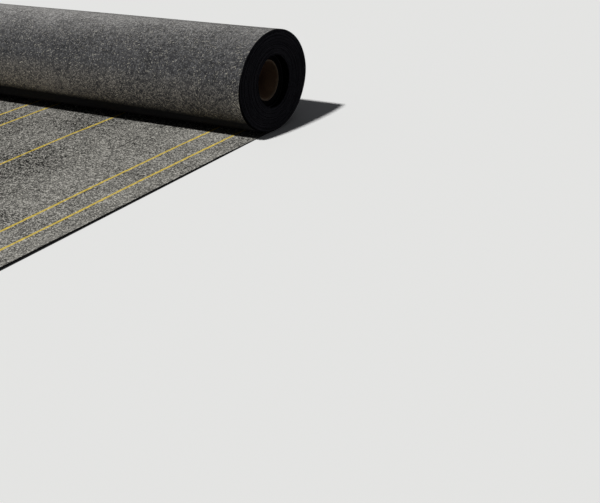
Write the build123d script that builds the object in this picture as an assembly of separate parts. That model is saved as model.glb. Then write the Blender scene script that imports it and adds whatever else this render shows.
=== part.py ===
from build123d import *
import math
import os

# A part-used roll of roofing felt that lies on the ground, with its loose end laid out flat from under it.
# The laid end and every turn are one sheet, wound on a cardboard tube.
# Millimetres, +Z up. X runs along the roll, and the laid end runs to -Y.
# The origin is the middle of the bounding box's underside.

# The sheet
sheet_width = 1000.0
sheet_thickness = 1.0
laid_length = 700.0

# The wound roll, which its own weight has settled to a low oval
roll_width = 208.0
roll_height = 173.0

# The cardboard tube, with the air between it and the first turn
tube_bore = 64.0
tube_wall = 3.0
tube_clearance = 0.3

# The tube and the first turns on it have slipped along the roll, away from the +X end
slipped_thickness = 8.0
tube_slip = 14.0

# The last turn and the laid end lie a little off the rest, the same way
laid_slip = 5.0

# On the ends, bands of turns stand back and forward by turns
band_thickness = 2.0
band_slip = 1.2

# Each band's slip is a step of this angle along a wave, so that neighbours differ
band_rhythm = math.radians(137.5)

felt_bore_radius = tube_bore / 2 + tube_wall + tube_clearance
wound_thickness = roll_height / 2 - felt_bore_radius
overshoot = 1.0

# Where the roll lies in the frame
turns_x = tube_slip / 2
axis_y = (laid_length - roll_width / 2) / 2
axis_z = roll_height / 2


def oval(depth):
    """Outline of the winding at a depth of felt on the tube: round on the tube, the roll's oval outside"""
    share = depth / wound_thickness
    half_width = felt_bore_radius + share * (roll_width / 2 - felt_bore_radius)
    return Ellipse(half_width, felt_bore_radius + depth)


def along_roll(outline, low_x, high_x):
    """Solid with a level outline's section from low_x to high_x along the roll's axis"""
    section = Plane(origin=(low_x, axis_y, axis_z), x_dir=(0, 1, 0), z_dir=(1, 0, 0)) * outline
    return extrude(section, amount=high_x - low_x)


def slip_turns(winding, inner_depth, outer_depth, slip):
    """Move the turns between two depths along the roll: in at the +X end, and out as far at the other"""
    high_x = turns_x + sheet_width / 2
    low_x = turns_x - sheet_width / 2
    outermost = outer_depth >= wound_thickness
    innermost = inner_depth <= 0
    cut_outline = oval(outer_depth + overshoot) if outermost else oval(outer_depth)
    cut_hole = Circle(felt_bore_radius - overshoot) if innermost else oval(inner_depth)
    winding -= along_roll(cut_outline - cut_hole, high_x - slip, high_x + overshoot)
    hole = Circle(felt_bore_radius) if innermost else oval(inner_depth)
    winding += along_roll(oval(outer_depth) - hole, low_x - slip, low_x)
    return winding


def make_felt_roll():
    """The wound turns, their slipped bands, and the laid end that leaves the roll's underside"""
    low_x = turns_x - sheet_width / 2
    winding = along_roll(oval(wound_thickness) - Circle(felt_bore_radius), low_x, low_x + sheet_width)
    winding = slip_turns(winding, 0, slipped_thickness, tube_slip)
    last_turn = wound_thickness - sheet_thickness
    winding = slip_turns(winding, last_turn, wound_thickness, laid_slip)
    band_count = int((last_turn - slipped_thickness) / (2 * band_thickness) - 0.5)
    for band in range(band_count):
        inner_depth = slipped_thickness + (2 * band + 1) * band_thickness
        slip = band_slip * (0.7 + 0.3 * math.cos(band * band_rhythm))
        winding = slip_turns(winding, inner_depth, inner_depth + band_thickness, slip)
    laid_end = Pos(turns_x - laid_slip, axis_y - laid_length / 2, sheet_thickness / 2) * Box(
        sheet_width, laid_length, sheet_thickness
    )
    return winding + laid_end


def make_core_tube():
    """Cardboard tube as long as the sheet is wide, slipped with the turns that are wound on it"""
    wall = Circle(tube_bore / 2 + tube_wall) - Circle(tube_bore / 2)
    middle_x = turns_x - tube_slip
    return along_roll(wall, middle_x - sheet_width / 2, middle_x + sheet_width / 2)


os.makedirs("parts", exist_ok=True)
export_step(make_felt_roll(), "parts/felt_roll.step")
export_step(make_core_tube(), "parts/core_tube.step")
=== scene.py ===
import math

import bpy
import numpy as np
from mathutils import Matrix, Vector


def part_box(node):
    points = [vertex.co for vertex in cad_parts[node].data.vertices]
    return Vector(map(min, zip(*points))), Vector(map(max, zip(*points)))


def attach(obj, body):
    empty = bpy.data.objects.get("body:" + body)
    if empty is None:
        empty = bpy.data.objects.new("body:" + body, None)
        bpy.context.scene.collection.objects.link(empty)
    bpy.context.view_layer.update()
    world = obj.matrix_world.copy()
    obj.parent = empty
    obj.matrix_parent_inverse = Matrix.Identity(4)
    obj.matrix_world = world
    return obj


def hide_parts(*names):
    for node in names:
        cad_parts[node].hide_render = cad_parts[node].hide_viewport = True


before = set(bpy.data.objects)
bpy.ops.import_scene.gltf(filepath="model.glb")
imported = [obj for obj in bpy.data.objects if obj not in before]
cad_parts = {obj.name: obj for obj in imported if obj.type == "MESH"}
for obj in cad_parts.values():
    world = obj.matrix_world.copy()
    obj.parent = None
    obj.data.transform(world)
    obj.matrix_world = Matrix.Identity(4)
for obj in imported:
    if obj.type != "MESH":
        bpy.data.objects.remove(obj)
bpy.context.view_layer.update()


# The laid end and the last turn
# One stretch of the sheet: glass felt soaked and coated with bitumen and dusted with fine mineral, cut a
# metre wide. It lies flat from its free end to the line where the roll touches the ground, then goes once
# round the outside of the roll. Its plain side is outside on the roll and below where it is laid.

roll_low, roll_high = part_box("felt_roll")
tube_low, tube_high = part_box("core_tube")

# A turn takes a hair more than the sheet's thickness, so that no two turns share a face
sheet_thickness = 0.001
turn_pitch = 1.003 * sheet_thickness
tube_clearance = 0.0003

tube_slip = roll_high[0] - tube_high[0]
sheet_width = roll_high[0] - roll_low[0] - tube_slip
axis_y = (tube_low[1] + tube_high[1]) / 2
axis_z = (tube_low[2] + tube_high[2]) / 2
tube_radius = (tube_high[2] - tube_low[2]) / 2
felt_bore = tube_radius + tube_clearance
half_width = roll_high[1] - axis_y
half_height = roll_high[2] - axis_z
wound_thickness = half_height - felt_bore
laid_length = axis_y - roll_low[1]
turn_count = (wound_thickness - sheet_thickness) / turn_pitch

laid_slip = 0.005
front_slip = 0.008
slipped_turns = 8

# In turns: how far the laid end's slip and the one low at the front reach along the sheet
laid_reach = 0.25
front_reach = 0.32


def wound_path(turn):
    """Points (y, z) and inward normals of the sheet's middle, `turn` turns in from the contact line.

    A turn's section is an oval. At depth d of felt on the tube its half height is the bore's radius plus d,
    and its half width grows from the same radius to the roll's own half width. The depth falls evenly by
    one pitch a turn. The angle starts at the bottom and goes up the back.
    """
    depth = wound_thickness - sheet_thickness / 2 - turn_pitch * turn
    across = felt_bore + depth * (half_width - felt_bore) / wound_thickness
    upright = felt_bore + depth
    angle = 2 * np.pi * turn
    point = np.stack([axis_y + across * np.sin(angle), axis_z - upright * np.cos(angle)], axis=-1)
    normal = np.stack([-upright * np.sin(angle), across * np.cos(angle)], axis=-1)
    return point, normal / np.linalg.norm(normal, axis=-1, keepdims=True)


def turn_slip(turn):
    """How far the sheet has crept towards -X, `turn` turns in from the contact line.

    The laid end's slip is lost over the first quarter turn up the back. Where the sheet next comes down the
    front it has slipped again, most at turn 1, by a power of the distance from there. The turns wander by a
    sum of three waves of different lengths. The first turns on the tube have slipped with it.
    """
    laid = np.clip(1 - turn / laid_reach, 0, 1)
    front = np.clip(1 - np.abs(turn - 1) / front_reach, 0, 1) ** 0.7
    wander = 0.0005 + 0.0002 * np.sin(2.1 * turn) + 0.00018 * np.sin(5.3 * turn + 1)
    wander += 0.0001 * np.sin(0.7 * turn)
    slipped = np.clip((turn - (turn_count - slipped_turns - 0.5)) / 0.6, 0, 1)
    steady = (1 - laid) * (1 - front) * (1 - slipped)
    return laid_slip * laid + front_slip * front + wander * steady + tube_slip * slipped


def sheet_mesh(name, point, normal, slip, columns, lift, first_length):
    """Closed mesh of a stretch of sheet: a path of (y, z) points carried across the sheet's width.

    Each station of the path has a ring of vertices: its outer face from the +X edge to the -X edge, then its
    inner face back. Both stand half a thickness off the path along its normal, moved inward by `lift`, an
    array of stations by columns. UV "sheet" is the distance in metres from the +X edge, and along the sheet.
    """
    stations = len(point)
    across = np.linspace(0, sheet_width, columns)
    x = roll_high[0] - slip[:, None] - across[None, :]
    faces = []
    for side in (-1, 1):
        off = lift + side * sheet_thickness / 2
        y = point[:, None, 0] + normal[:, None, 0] * off
        z = point[:, None, 1] + normal[:, None, 1] * off
        faces.append(np.stack([x, y, z], axis=-1))
    rings = np.concatenate([faces[0], faces[1][:, ::-1]], axis=1)
    ring = 2 * columns
    vertices = rings.reshape(-1, 3)

    i, j = np.meshgrid(np.arange(stations - 1), np.arange(ring), indexing="ij")
    k = (j + 1) % ring
    first, second = i * ring, (i + 1) * ring
    quads = np.stack([first + j, first + k, second + k, second + j], axis=-1).reshape(-1, 4)
    c = np.arange(columns - 1)
    start_cap = np.stack([c, ring - 1 - c, ring - 2 - c, c + 1], axis=-1)
    end_cap = (stations - 1) * ring + start_cap[:, ::-1]
    polygons = np.concatenate([quads, start_cap, end_cap])

    mesh = bpy.data.meshes.new(name)
    mesh.from_pydata(vertices, [], polygons)
    side_of_quad = np.where(j < columns - 1, 0, np.where((j >= columns) & (j < ring - 1), 1, 2)).ravel()
    slots = np.concatenate([side_of_quad, np.full(2 * (columns - 1), 2)]).astype(np.int32)
    mesh.polygons.foreach_set("material_index", slots)
    mesh.polygons.foreach_set("use_smooth", np.ones(len(polygons), dtype=bool))

    steps = np.linalg.norm(np.diff(point, axis=0), axis=-1)
    along = first_length + np.concatenate([[0], np.cumsum(steps)])
    from_edge = np.concatenate([across, across[::-1]])
    uv = np.stack(np.broadcast_arrays(from_edge[None, :], along[:, None]), axis=-1).reshape(-1, 2)
    loops = np.empty(len(mesh.loops), dtype=np.int32)
    mesh.loops.foreach_get("vertex_index", loops)
    mesh.uv_layers.new(name="sheet").data.foreach_set("uv", uv[loops].ravel())
    sharp_edge = math.radians(40)
    mesh.set_sharp_from_angle(angle=sharp_edge)
    mesh.update()
    piece = bpy.data.objects.new(name, mesh)
    bpy.context.scene.collection.objects.link(piece)
    return piece, along[-1]


def laid_lift(from_free_end, across):
    """How far the laid end stands off the ground: soft ripples, a raised cut edge and a slight end curl.

    The ripples are products of long waves, whose angles grow by so many radians a metre. The edge's rise dies
    away inwards exponentially, and the curl's with the square of the distance. All of it fades out before the
    roll, whose weight presses the sheet flat.
    """
    long_ripple, short_ripple = 0.0009, 0.0005
    edge_rise, edge_fade = 0.002, 0.02
    curl_rise, curl_reach = 0.0035, 0.07
    pressed_reach = 0.16
    s, a = from_free_end[:, None], across[None, :]
    ripples = long_ripple * (1 + np.sin(17 * s + 4 * a + 1.0) * np.sin(9 * a + 5 * s)) * 0.5
    ripples += short_ripple * (1 + np.sin(31 * a - 6 * s + 2.0)) * 0.5
    pressed = np.clip((laid_length - s) / pressed_reach, 0, 1) ** 2
    both_edges = np.exp(-a / edge_fade) + np.exp(-(sheet_width - a) / edge_fade)
    edge = edge_rise * (1 + 0.25 * np.sin(11 * s)) * both_edges
    curl = curl_rise * np.clip((curl_reach - s) / curl_reach, 0, 1) ** 2 * (1 + 0.3 * np.sin(7 * a))
    return (ripples + edge + curl) * pressed


def settled_dents(turn, across):
    """How far the last turn has sunk onto the turns under it: long shallow hollows, none at its edges.

    Two crossing waves, three and five to a turn, are raised so that they hardly fall below nought, and faded
    out by a sine towards the cut edges and towards both ends of the turn.
    """
    mean_depth = 0.00028
    n, a = turn[:, None], across[None, :]
    waves = np.sin(2 * np.pi * 3 * n + 5 * a) * np.sin(6.1 * a + 0.7)
    waves += 0.6 * np.sin(2 * np.pi * 5 * n - 8 * a)
    window = np.sin(np.pi * np.clip(n, 0, 1)) ** 2 * np.sin(np.pi * a / sheet_width) ** 0.5
    return mean_depth * (1.6 + waves) * np.clip(window, 0, 1)


outer_columns = 72
across = np.linspace(0, sheet_width, outer_columns)
laid_stations = 83
from_free_end = np.linspace(0, laid_length, laid_stations, endpoint=False)
laid_point = np.stack([roll_low[1] + from_free_end, np.full(laid_stations, sheet_thickness / 2)], axis=-1)
laid_normal = np.tile([0.0, 1.0], (laid_stations, 1))
last_turn_end = 1.04
last_turn_stations = 168
outer_turn = np.linspace(0, last_turn_end, last_turn_stations)
turn_point, turn_normal = wound_path(outer_turn)
outer_point = np.concatenate([laid_point, turn_point])
outer_normal = np.concatenate([laid_normal, turn_normal])
outer_slip = np.concatenate([np.full(laid_stations, laid_slip), turn_slip(outer_turn)])
outer_lift = np.concatenate([laid_lift(from_free_end, across), settled_dents(outer_turn, across)])
last_turn, wound_from = sheet_mesh(
    "laid_end_and_last_turn", outer_point, outer_normal, outer_slip, outer_columns, outer_lift, 0.0
)


def linear(hex_colour, alpha=1.0):
    """sRGB hex such as "#6b6a66" as linear RGBA."""
    parts = [int(hex_colour[i : i + 2], 16) / 255 for i in (1, 3, 5)]
    return [p / 12.92 if p <= 0.04045 else ((p + 0.055) / 1.055) ** 2.4 for p in parts] + [alpha]


def add_node(tree, kind, inputs, output, **settings):
    """Adds a shader node, fills its inputs with values or links, and gives the output socket asked for."""
    node = tree.nodes.new("ShaderNode" + kind)
    for name, value in settings.items():
        setattr(node, name, value)
    for name, value in inputs.items():
        if isinstance(value, bpy.types.NodeSocket):
            tree.links.new(value, node.inputs[name])
        else:
            node.inputs[name].default_value = value
    return node.outputs[output]


def new_finish(name, **constants):
    """A material with one Principled BSDF, whose constant sockets are set here."""
    material = bpy.data.materials.new(name)
    material.use_nodes = True
    tree = material.node_tree
    surface = tree.nodes["Principled BSDF"]
    for socket, value in constants.items():
        surface.inputs[socket.replace("_", " ")].default_value = value
    return material, tree, surface


def mineral_felt(
    name, coat, mineral, fleck, gloss, least=0.2, drift=0.0, span=(0.0, 0.7), wear=0.0, painted_light_tones=None,
    paint=None,
):
    """Bitumen felt dusted with fine mineral: grains of every strength between the coat and the mineral.

    A grain's strength is `least` to 1 by the cube of its cell's own random value, so that most are weak. It
    is moved up and down by mottling, by clouds and, over the `span` of distances from the +X edge, by
    `drift`. Sizes are in metres on the sheet. The real grains are under a millimetre, and are drawn as coarse
    as the photograph shows them. Scuffs and scratches are the peaks of three long thin noises that lean
    across each other. They grow towards the cut edges by the share `wear`, the scuffs only low on the flank.
    """
    grain_size, fleck_size, mottle_size, cloud_size = 0.0019, 0.003, 0.011, 0.11
    worn_width, scuff_width, scuff_length, scratch_length = 0.03, 0.0012, 0.005, 0.014
    patch_strength, most_added, scratch_share = 0.13, 0.1, 0.55
    scuffed_from, scuffed_most, scuff_share = 1.2, 1.8, 1.25
    felt, tree, surface = new_finish(name, Roughness=0.8, Specular_IOR_Level=gloss)
    sheet = add_node(tree, "UVMap", {}, "UV", uv_map="sheet")
    cells = add_node(tree, "TexVoronoi", {"Vector": sheet, "Scale": 1 / grain_size}, "Color")
    own = add_node(tree, "SeparateColor", {"Color": cells}, "Red")
    own = add_node(tree, "Math", {0: own, 1: 3.0}, "Value", operation="POWER")
    own = add_node(tree, "MapRange", {"Value": own, "To Min": least, "To Max": 1.0}, "Result")
    mottle = add_node(tree, "TexNoise", {"Vector": sheet, "Scale": 1 / mottle_size, "Detail": 3.0}, "Fac")
    clouds = add_node(tree, "TexNoise", {"Vector": sheet, "Scale": 1 / cloud_size, "Detail": 3.0}, "Fac")
    patches = add_node(tree, "Math", {0: mottle, 1: clouds}, "Value", operation="ADD")
    spread = {"Value": patches, "From Min": 0.7, "From Max": 1.3}
    spread.update({"To Min": -patch_strength, "To Max": patch_strength})
    patchy = add_node(tree, "MapRange", spread, "Result")
    across = add_node(tree, "SeparateXYZ", {"Vector": sheet}, "X")
    start, end = span
    drifted = add_node(
        tree,
        "MapRange",
        {"Value": across, "From Min": start, "From Max": end, "To Min": -drift / 2, "To Max": drift / 2},
        "Result",
    )
    patchy = add_node(tree, "Math", {0: patchy, 1: drifted}, "Value", operation="ADD")
    strength = add_node(tree, "Math", {0: own, 1: patchy}, "Value", operation="ADD", use_clamp=True)

    # A colour Mix node takes its factor at 0 and its colours at 6 and 7, and gives its result at 2
    body = add_node(tree, "Mix", {0: strength, 6: linear(coat), 7: linear(mineral)}, 2, data_type="RGBA")

    # Flecks: the middles of about a third of the cells, each of its own strength
    distance = add_node(tree, "TexVoronoi", {"Vector": sheet, "Scale": 1 / fleck_size}, "Distance")
    fade = {"Value": distance, "From Min": 0.15, "From Max": 0.35, "To Min": 1.0, "To Max": 0.0}
    middle = add_node(tree, "MapRange", fade, "Result")
    pick = add_node(tree, "SeparateColor", {"Color": distance.node.outputs["Color"]}, "Green")
    picked = add_node(tree, "MapRange", {"Value": pick, "From Min": 0.65, "From Max": 1.0}, "Result")
    pale = add_node(tree, "Math", {0: middle, 1: picked}, "Value", operation="MULTIPLY")

    # The tilt is the surface's angle from level and face up, in radians, so 0 is the roll's top
    facing = add_node(tree, "TexCoord", {}, "Normal")
    facing = add_node(tree, "SeparateXYZ", {"Vector": facing}, "Z")
    tilt = add_node(tree, "Math", {0: facing}, "Value", operation="ARCCOSINE")

    # What is added to each noise, more of it near a cut edge, decides how many of its peaks show
    from_cut = add_node(tree, "Math", {0: across, 1: sheet_width / 2}, "Value", operation="PINGPONG")
    worn = {"Value": from_cut, "From Max": worn_width, "To Min": most_added * wear, "To Max": 0.0}
    near_cut = add_node(tree, "MapRange", worn, "Result")
    dragged = {"Value": tilt, "From Min": scuffed_from, "From Max": scuffed_most, "To Max": scuff_share}
    dragged = add_node(tree, "MapRange", dragged, "Result")
    scuffs = add_node(tree, "Math", {0: near_cut, 1: dragged}, "Value", operation="MULTIPLY")
    scratches = add_node(tree, "Math", {0: near_cut, 1: scratch_share}, "Value", operation="MULTIPLY")
    marks = ((38, scuff_length, scuffs), (-52, scuff_length, scuffs), (-65, scratch_length, scratches))
    for lean, length, added in marks:
        # A Mapping of this type turns before it scales, so that the stretched noise leans
        turned = add_node(
            tree,
            "Mapping",
            {"Vector": sheet, "Rotation": (0, 0, math.radians(lean)), "Scale": (scuff_width, length, 1)},
            "Vector",
            vector_type="TEXTURE",
        )
        scratch = add_node(tree, "TexNoise", {"Vector": turned, "Scale": 1.0, "Detail": 1.0}, "Fac")
        raised = add_node(tree, "Math", {0: scratch, 1: added}, "Value", operation="ADD")
        peak = add_node(tree, "MapRange", {"Value": raised, "From Min": 0.7, "From Max": 0.76}, "Result")
        pale = add_node(tree, "Math", {0: pale, 1: peak}, "Value", operation="MAXIMUM")
    colour = add_node(tree, "Mix", {0: pale, 6: body, 7: linear(fleck)}, 2, data_type="RGBA")

    # By tilt, light and shade are painted on: a pale painted highlight on what faces up, a little browner
    # painted light low on the flank, and on the foot, tilted by more than about 2.2, painted shade that turns
    # it back to the coat. Both painted lights grow towards the -X edge, and the painted shade's edge climbs a
    # little that way.
    # Each grain takes the painted light by its own strength
    if painted_light_tones:
        top_end, top_power = 1.1, 2.3
        flank_from, flank_most, flank_share = 1.2, 2.0, 0.29
        foot_from, foot_full, foot_share, foot_climb = 2.2, 2.35, 0.98, 0.28
        least_share, most_share, most_from = 0.55, 1.35, 0.7
        painted_highlight = {"Value": tilt, "From Min": 0.0, "From Max": top_end, "To Min": 1.0, "To Max": 0.0}
        painted_highlight = add_node(tree, "MapRange", painted_highlight, "Result")
        painted_highlight = add_node(tree, "Math", {0: painted_highlight, 1: top_power}, "Value", operation="POWER")
        flank = {"Value": tilt, "From Min": flank_from, "From Max": flank_most, "To Max": flank_share}
        flank = add_node(tree, "MapRange", flank, "Result")
        towards_minus_x = {"Value": across, "From Max": most_from, "To Min": least_share, "To Max": most_share}
        towards_minus_x = add_node(tree, "MapRange", towards_minus_x, "Result")
        on_weak_grains, on_strong_grains = (-0.15, -0.4), (1.75, 1.6)
        for amount, dust, weakest, strongest in zip((painted_highlight, flank), painted_light_tones, on_weak_grains, on_strong_grains):
            grainy = {"Value": strength, "To Min": weakest, "To Max": strongest}
            grainy = add_node(tree, "MapRange", grainy, "Result")
            painted_light = add_node(tree, "Math", {0: amount, 1: grainy}, "Value", operation="MULTIPLY")
            painted_light = add_node(tree, "Math", {0: painted_light, 1: towards_minus_x}, "Value", operation="MULTIPLY")
            colour = add_node(tree, "Mix", {0: painted_light, 6: colour, 7: linear(dust)}, 2, data_type="RGBA")
        climb = {0: across, 1: foot_climb, 2: tilt}
        slanted = add_node(tree, "Math", climb, "Value", operation="MULTIPLY_ADD")
        painted_foot_shade = {"Value": slanted, "From Min": foot_from, "From Max": foot_full, "To Max": foot_share}
        painted_foot_shade = add_node(tree, "MapRange", painted_foot_shade, "Result")
        colour = add_node(tree, "Mix", {0: painted_foot_shade, 6: colour, 7: linear(coat)}, 2, data_type="RGBA")

    if paint:
        colour = lay_lines(tree, sheet, own, colour, paint)
    tree.links.new(colour, surface.inputs["Base Color"])
    height = add_node(tree, "Math", {0: strength, 1: pale}, "Value", operation="ADD")
    bump = add_node(tree, "Bump", {"Height": height, "Strength": 0.4, "Distance": 0.0004}, "Normal")
    tree.links.new(bump, surface.inputs["Normal"])
    return felt


def lay_lines(tree, sheet, grain, felt_colour, paint):
    """Yellow guide lines printed along the sheet, alike from both its edges.

    A point's distance from the nearer cut edge is compared with each line's. The print lies a little off
    centre across the sheet, its edges wander with a noise, and it is thinner on every weak grain.
    """
    inch = 0.0254
    from_edge = (2 * inch, 4 * inch, (12 + 7 / 16) * inch, (18 + 11 / 16) * inch)
    line_width = 0.005
    off_centre = 0.0045
    wander_size, wander_reach = 0.012, 0.001
    on_weak_grain, on_strong_grain = 0.45, 1.1
    across = add_node(tree, "SeparateXYZ", {"Vector": sheet}, "X")
    across = add_node(tree, "Math", {0: across, 1: off_centre}, "Value", operation="ADD")
    wander = add_node(tree, "TexNoise", {"Vector": sheet, "Scale": 1 / wander_size, "Detail": 2.0}, "Fac")
    shift = add_node(
        tree,
        "MapRange",
        {"Value": wander, "From Min": 0.2, "From Max": 0.8, "To Min": -wander_reach, "To Max": wander_reach},
        "Result",
    )
    place = add_node(tree, "Math", {0: across, 1: shift}, "Value", operation="ADD")
    inward = add_node(tree, "Math", {0: place, 1: sheet_width / 2}, "Value", operation="PINGPONG")
    nearest = None
    for distance in from_edge:
        gap = add_node(tree, "Math", {0: inward, 1: distance}, "Value", operation="SUBTRACT")
        gap = add_node(tree, "Math", {0: gap}, "Value", operation="ABSOLUTE")
        if nearest is not None:
            gap = add_node(tree, "Math", {0: nearest, 1: gap}, "Value", operation="MINIMUM")
        nearest = gap
    full, none = 0.4 * line_width, 0.6 * line_width
    fade = {"Value": nearest, "From Min": full, "From Max": none, "To Min": 1.0, "To Max": 0.0}
    printed = add_node(tree, "MapRange", fade, "Result")
    thinned = {"Value": grain, "To Min": on_weak_grain, "To Max": on_strong_grain}
    cover = add_node(tree, "MapRange", thinned, "Result")
    ink = add_node(tree, "Math", {0: printed, 1: cover}, "Value", operation="MULTIPLY")
    return add_node(tree, "Mix", {0: ink, 6: felt_colour, 7: linear(paint)}, 2, data_type="RGBA")


def cut_felt(name, bitumen, dust, recess_shade=None, recess_from=0.0):
    """The sheet's cut edge: raw black bitumen, dustier on some turns and in some places than in others.

    Three noises are added up. The longest changes about every second turn, and so draws rings on the roll's
    ends. The next are blots, and the finest the ends of the glass fibres, coarser than the real ones. From a
    given distance along the sheet on, the edge fades to a given near-black colour: painted shade on the turns
    sunk in the recess round the tube.
    """
    ring_length, blot_size, fibre_size, recess_fade = 0.8, 0.06, 0.0012, 0.1
    edge, tree, surface = new_finish(name, Roughness=1.0, Specular_IOR_Level=0.03)
    place = add_node(tree, "TexCoord", {}, "Object")
    sheet = add_node(tree, "UVMap", {}, "UV", uv_map="sheet")
    rings = add_node(tree, "TexNoise", {"Vector": sheet, "Scale": 1 / ring_length, "Detail": 2.0}, "Fac")
    blots = add_node(tree, "TexNoise", {"Vector": sheet, "Scale": 1 / blot_size, "Detail": 3.0}, "Fac")
    fibres = add_node(tree, "TexNoise", {"Vector": place, "Scale": 1 / fibre_size, "Detail": 2.0}, "Fac")
    worn = add_node(tree, "Math", {0: rings, 1: blots}, "Value", operation="ADD")
    worn = add_node(tree, "Math", {0: worn, 1: fibres}, "Value", operation="ADD")
    shown = add_node(tree, "MapRange", {"Value": worn, "From Min": 1.3, "From Max": 2.0}, "Result")
    mixed = add_node(tree, "Mix", {0: shown, 6: linear(bitumen), 7: linear(dust)}, 2, data_type="RGBA")
    if recess_shade:
        along = add_node(tree, "SeparateXYZ", {"Vector": sheet}, "Y")
        begin = {"Value": along, "From Min": recess_from, "From Max": recess_from + recess_fade}
        in_recess = add_node(tree, "MapRange", begin, "Result")
        mixed = add_node(tree, "Mix", {0: in_recess, 6: mixed, 7: linear(recess_shade)}, 2, data_type="RGBA")
    tree.links.new(mixed, surface.inputs["Base Color"])
    bump = add_node(tree, "Bump", {"Height": fibres, "Strength": 0.3, "Distance": 0.0003}, "Normal")
    tree.links.new(bump, surface.inputs["Normal"])
    return edge


# The plain side, outside on the roll, keeps most of its black coat, so the barrel is a dull charcoal. Its top
# is painted pale as a highlight, it is painted a little lighter low on the flank, and its foot is painted
# black as shade
plain_side = mineral_felt(
    "felt_plain_side", "#0e0e11", "#646465", "#c3beb0", gloss=0.04, least=0.27, drift=0.04, wear=1.0,
    painted_light_tones=("#adaba8", "#c8bba3"),
)

# The lined side, which faces up where it is laid, is thick with pale dull mineral and carries the lines
lined_side = mineral_felt(
    "felt_lined_side", "#181818", "#d0cdc4", "#f4f0e3", gloss=0.0, least=0.1, drift=-0.11,
    span=(0.1, 0.3), paint="#f6d650",
)

# The cut edges are raw bitumen with a little dust, and look black because the roll's end is in the shade
cut_edge = cut_felt("felt_cut_edge", "#2c2c34", "#7b7a81")
for finish in (plain_side, lined_side, cut_edge):
    last_turn.data.materials.append(finish)
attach(last_turn, "root")
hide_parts("felt_roll")


# The turns under it
# The rest of the same sheet, wound on the tube in about 50 turns that touch above and below and stand a
# little apart at the sides, where the roll has sagged. Their cut edges make the roll's black ends.

points_per_turn = 120
inner_columns = 2
inner_turn = np.linspace(last_turn_end, turn_count, int((turn_count - last_turn_end) * points_per_turn))
inner_point, inner_normal = wound_path(inner_turn)
no_lift = np.zeros((len(inner_turn), inner_columns))
wound_turns, sheet_end = sheet_mesh(
    "wound_turns", inner_point, inner_normal, turn_slip(inner_turn), inner_columns, no_lift, wound_from
)

# What shows of a turn's faces where it stands out from its neighbours, and in the recess round the tube, is
# painted nearly black as shade
painted_shade_faces = mineral_felt("felt_painted_shade_faces", "#030305", "#111111", "#232322", gloss=0.0)

# The cut edges of the turns that have slipped with the tube sit in the recess round it, and fade to near
# black there as painted shade
slipped_length = slipped_turns * 2 * math.pi * (felt_bore + slipped_turns * turn_pitch / 2)
inner_edge = cut_felt(
    "felt_inner_edge", "#2c2c34", "#7b7a81", recess_shade="#0e0e11", recess_from=sheet_end - slipped_length
)
for finish in (painted_shade_faces, painted_shade_faces, inner_edge):
    wound_turns.data.materials.append(finish)
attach(wound_turns, "root")
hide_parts("felt_roll")


# The tube
# A cardboard tube wound from strips of brown paper and glued, then cut to the sheet's width. The strips'
# edges leave a fine spiral seam inside, and the plies show on its sawn ends.

tube_wall = 0.003
rim_round = 0.0004
tube_segments = 144


def tube_mesh(name, inner_radius, outer_radius, low_x, high_x):
    """Closed tube: a profile of (x, radius) carried once round the axis.

    The profile goes out along the bore, over one rim, back along the outside and over the other rim, with
    two points at each corner, a small rounding apart. Material slot 1 is the two sawn rims.
    """
    r = rim_round
    profile = np.array([
        (low_x + r, inner_radius), (high_x - r, inner_radius),
        (high_x, inner_radius + r), (high_x, outer_radius - r),
        (high_x - r, outer_radius), (low_x + r, outer_radius),
        (low_x, outer_radius - r), (low_x, inner_radius + r),
    ])
    corners = len(profile)
    angle = np.linspace(0, 2 * np.pi, tube_segments, endpoint=False)[:, None]
    x = np.broadcast_to(profile[:, 0], (tube_segments, corners))
    y = axis_y + profile[:, 1] * np.cos(angle)
    z = axis_z + profile[:, 1] * np.sin(angle)
    vertices = np.stack([x, y, z], axis=-1).reshape(-1, 3)
    i, j = np.meshgrid(np.arange(tube_segments), np.arange(corners), indexing="ij")
    first, second, m = i * corners, (i + 1) % tube_segments * corners, (j + 1) % corners
    quads = np.stack([first + j, second + j, second + m, first + m], axis=-1).reshape(-1, 4)
    mesh = bpy.data.meshes.new(name)
    mesh.from_pydata(vertices, [], quads)
    mesh.polygons.foreach_set("material_index", (j % 4 == 2).ravel().astype(np.int32))
    mesh.polygons.foreach_set("use_smooth", np.ones(len(quads), dtype=bool))
    sharp_edge = math.radians(30)
    mesh.set_sharp_from_angle(angle=sharp_edge)
    piece = bpy.data.objects.new(name, mesh)
    bpy.context.scene.collection.objects.link(piece)
    return piece


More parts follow.
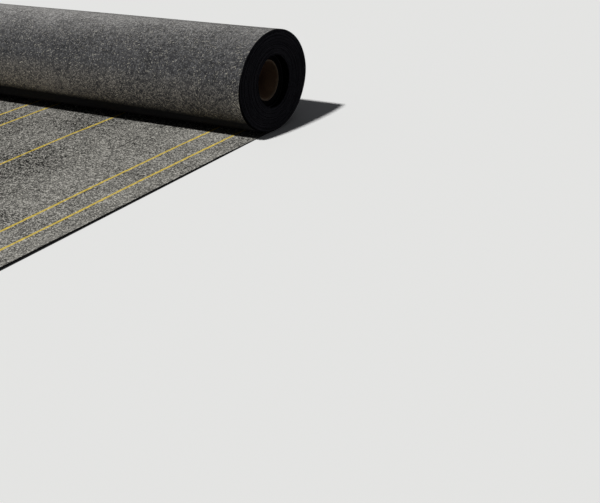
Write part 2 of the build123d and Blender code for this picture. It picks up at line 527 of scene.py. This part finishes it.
def kraft_board(name, paper, shade):
    """Brown kraft board: soft mottling, fibre drawn coarser than the real one, and the dark spiral seam."""
    mottle_size, fibre_size = 0.03, 0.0012
    seam_pitch, seam_core, seam_edge = 0.16, 0.004, 0.01
    board, tree, surface = new_finish(name, Roughness=0.9, Specular_IOR_Level=0.15)
    place = add_node(tree, "TexCoord", {}, "Object")
    centred = add_node(tree, "Mapping", {"Vector": place, "Location": (0, -axis_y, -axis_z)}, "Vector")
    soft = add_node(tree, "TexNoise", {"Vector": centred, "Scale": 1 / mottle_size, "Detail": 4.0}, "Fac")
    fibre = add_node(tree, "TexNoise", {"Vector": centred, "Scale": 1 / fibre_size, "Detail": 2.0}, "Fac")
    both = add_node(tree, "Math", {0: soft, 1: fibre}, "Value", operation="ADD")
    shown = add_node(tree, "MapRange", {"Value": both, "From Min": 0.7, "From Max": 1.3}, "Result")
    brown = add_node(tree, "Mix", {0: shown, 6: linear(shade), 7: linear(paper)}, 2, data_type="RGBA")

    # The seam is where the angle round the axis, in turns, less the distance along it in pitches, is even
    along = add_node(tree, "SeparateXYZ", {"Vector": centred}, "X")
    section = along.node.outputs
    angle = add_node(tree, "Math", {0: section["Z"], 1: section["Y"]}, "Value", operation="ARCTAN2")
    turns = add_node(tree, "Math", {0: angle, 1: 2 * math.pi}, "Value", operation="DIVIDE")
    pitches = add_node(tree, "Math", {0: along, 1: seam_pitch}, "Value", operation="DIVIDE")
    phase = add_node(tree, "Math", {0: turns, 1: pitches}, "Value", operation="SUBTRACT")
    off_seam = add_node(tree, "Math", {0: phase, 1: 1.0}, "Value", operation="PINGPONG")
    seam = add_node(
        tree,
        "MapRange",
        {"Value": off_seam, "From Min": seam_core, "From Max": seam_edge, "To Min": 0.7, "To Max": 0.0},
        "Result",
    )
    seamed = add_node(tree, "Mix", {0: seam, 6: brown, 7: linear(shade)}, 2, data_type="RGBA")
    tree.links.new(seamed, surface.inputs["Base Color"])
    bump = add_node(tree, "Bump", {"Height": fibre, "Strength": 0.3, "Distance": 0.0002}, "Normal")
    tree.links.new(bump, surface.inputs["Normal"])
    return board


def sawn_board(name, paper, glue):
    """The tube's sawn rim: plies of board a millimetre thick, with a dark line of glue between them."""
    half_ply, glue_reach = 0.0005, 0.0002
    board, tree, surface = new_finish(name, Roughness=0.95, Specular_IOR_Level=0.1)
    place = add_node(tree, "TexCoord", {}, "Object")
    section = add_node(
        tree, "Mapping", {"Vector": place, "Location": (0, -axis_y, -axis_z), "Scale": (0, 1, 1)}, "Vector"
    )
    radius = add_node(tree, "VectorMath", {0: section}, "Value", operation="LENGTH")
    ply = add_node(tree, "Math", {0: radius, 1: half_ply}, "Value", operation="PINGPONG")
    glued = add_node(
        tree, "MapRange", {"Value": ply, "From Max": glue_reach, "To Min": 0.8, "To Max": 0.0}, "Result"
    )
    plies = add_node(tree, "Mix", {0: glued, 6: linear(paper), 7: linear(glue)}, 2, data_type="RGBA")
    tree.links.new(plies, surface.inputs["Base Color"])
    return board


core_tube = tube_mesh("cardboard_tube", tube_radius - tube_wall, tube_radius, tube_low[0], tube_high[0])

# Brown paper, dark inside the bore because little light reaches it
core_tube.data.materials.append(kraft_board("kraft_board", "#b39577", "#846a57"))

# The sawn rim is cleaner and greyer, so it stands out as a thin pale ring
core_tube.data.materials.append(sawn_board("sawn_board", "#bdab97", "#5c4c40"))
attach(core_tube, "root")
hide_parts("core_tube")


# The studio
# A pale floor without an end, one soft lamp where the sun stands in the photograph, high in front and a
# little to the left, and a weak pale sky that fills the shade.

floor_reach = 15.0
floor_mesh = bpy.data.meshes.new("floor")
corners = [(-floor_reach, -floor_reach, 0), (floor_reach, -floor_reach, 0)]
corners += [(floor_reach, floor_reach, 0), (-floor_reach, floor_reach, 0)]
floor_mesh.from_pydata(corners, [], [(0, 1, 2, 3)])
floor = bpy.data.objects.new("floor", floor_mesh)
bpy.context.scene.collection.objects.link(floor)


def seen_directly(tree):
    """1 where the eye meets a surface by itself, mirrored or through glass, and 0 for light that bounces."""
    seen = add_node(tree, "LightPath", {}, "Is Camera Ray")
    path = seen.node.outputs
    for also in (path["Is Glossy Ray"], path["Is Transmission Ray"]):
        seen = add_node(tree, "Math", {0: seen, 1: also}, "Value", operation="MAXIMUM")
    return seen


# The floor looks pale, and throws back on the roll no more light than dark ground does
pale_floor, floor_tree, floor_surface = new_finish("pale_floor", Roughness=1.0, Specular_IOR_Level=0.0)
floor_colour = add_node(
    floor_tree,
    "Mix",
    {0: seen_directly(floor_tree), 6: linear("#3c3b3a"), 7: linear("#fafaf8")},
    2,
    data_type="RGBA",
)
floor_tree.links.new(floor_colour, floor_surface.inputs["Base Color"])
floor.data.materials.append(pale_floor)

key = bpy.data.objects.new("key_lamp", bpy.data.lights.new("key_lamp", "SUN"))
key.data.angle = math.radians(4)
key.data.energy = 3.0
towards_key = Vector((-0.2, -0.72, 1.0)).normalized()
key.rotation_euler = towards_key.to_track_quat("Z", "Y").to_euler()
bpy.context.scene.collection.objects.link(key)

# The sky lights the shade softly, and shows the floor's own colour beyond its edge
sky = bpy.data.worlds.new("sky")
sky.use_nodes = True
sky_tree = sky.node_tree
background = sky_tree.nodes["Background"]
in_view = seen_directly(sky_tree)
sky_colour = add_node(
    sky_tree, "Mix", {0: in_view, 6: linear("#f4f7ff"), 7: linear("#e4e4e2")}, 2, data_type="RGBA"
)
sky_tree.links.new(sky_colour, background.inputs["Color"])
sky_strength = add_node(sky_tree, "MapRange", {"Value": in_view, "To Min": 0.05, "To Max": 1.0}, "Result")
sky_tree.links.new(sky_strength, background.inputs["Strength"])
bpy.context.scene.world = sky


# The camera
# It stands where the photograph's lay lines, sheet edge and roll outline put it: 1.07 m past the roll's
# open end, 1.61 m in front of the line where the roll touches the ground, and 0.6 m up.

picture_width = 600
focal_pixels = 1172.9
sensor_width = 36
past_end, in_front, height = 1.0675, 1.6087, 0.5995
heading, fall, lean = math.radians(32.7), math.radians(23.2), math.radians(-2.79)
ahead = Vector((-math.sin(heading) * math.cos(fall), math.cos(heading) * math.cos(fall), -math.sin(fall)))
level = Vector((math.cos(heading), math.sin(heading), 0))
upward = level.cross(ahead)
right = math.cos(lean) * level + math.sin(lean) * upward
up = math.cos(lean) * upward - math.sin(lean) * level
stand = Vector((roll_high[0] + past_end, axis_y - in_front, height))
camera = bpy.data.objects.new("camera", bpy.data.cameras.new("camera"))
camera.data.sensor_width = sensor_width
camera.data.lens = focal_pixels / picture_width * sensor_width
camera.matrix_world = Matrix.Translation(stand) @ Matrix((right, up, -ahead)).transposed().to_4x4()
bpy.context.scene.collection.objects.link(camera)
bpy.context.scene.camera = camera
bpy.context.scene.view_settings.view_transform = "Standard"
